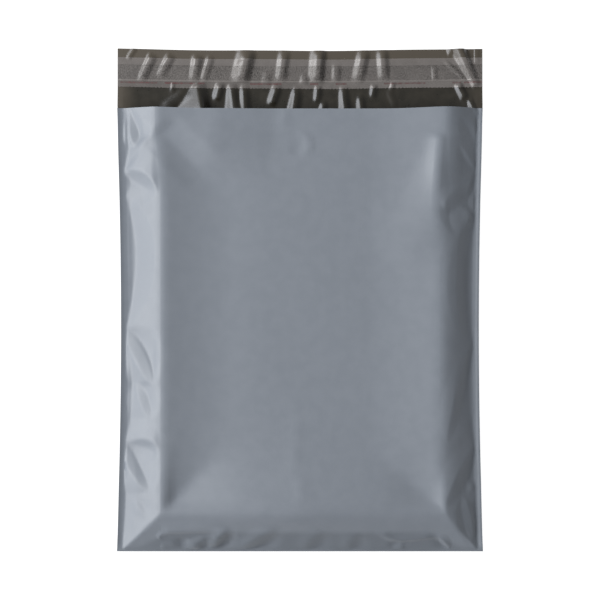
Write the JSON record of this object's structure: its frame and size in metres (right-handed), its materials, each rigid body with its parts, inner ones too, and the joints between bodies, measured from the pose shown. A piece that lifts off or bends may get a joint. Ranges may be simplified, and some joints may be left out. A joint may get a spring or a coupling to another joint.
{
  "type": "poly mailer bag",
  "caption": "Flat plastic mailing bag with welded sides, a gaping mouth and a self-seal flap that carries a glue band under a peel-off liner.",
  "frame": {"origin": "on the surface that the bag lies on, under the middle of its length and width", "axes": "+X across the bag to the right, +Y from the bottom fold to the flap edge, +Z out of the front wall; the bag lies on its back"},
  "size_m": [0.229, 0.315, 0.0185],
  "materials": {
    "grey_film": "satin grey film outside, near-black brown inside, smooth with a soft sheen",
    "glue": "thin clear hot-melt glue, grainy, seen dark against the film",
    "clear_liner": "thin clear release film, glossy and creased, with a faint broken red line near one edge"
  },
  "bodies": {
    "root": {"film_bag": "grey_film", "adhesive_strip": "glue", "release_liner": "clear_liner"}
  },
  "joints": []
}
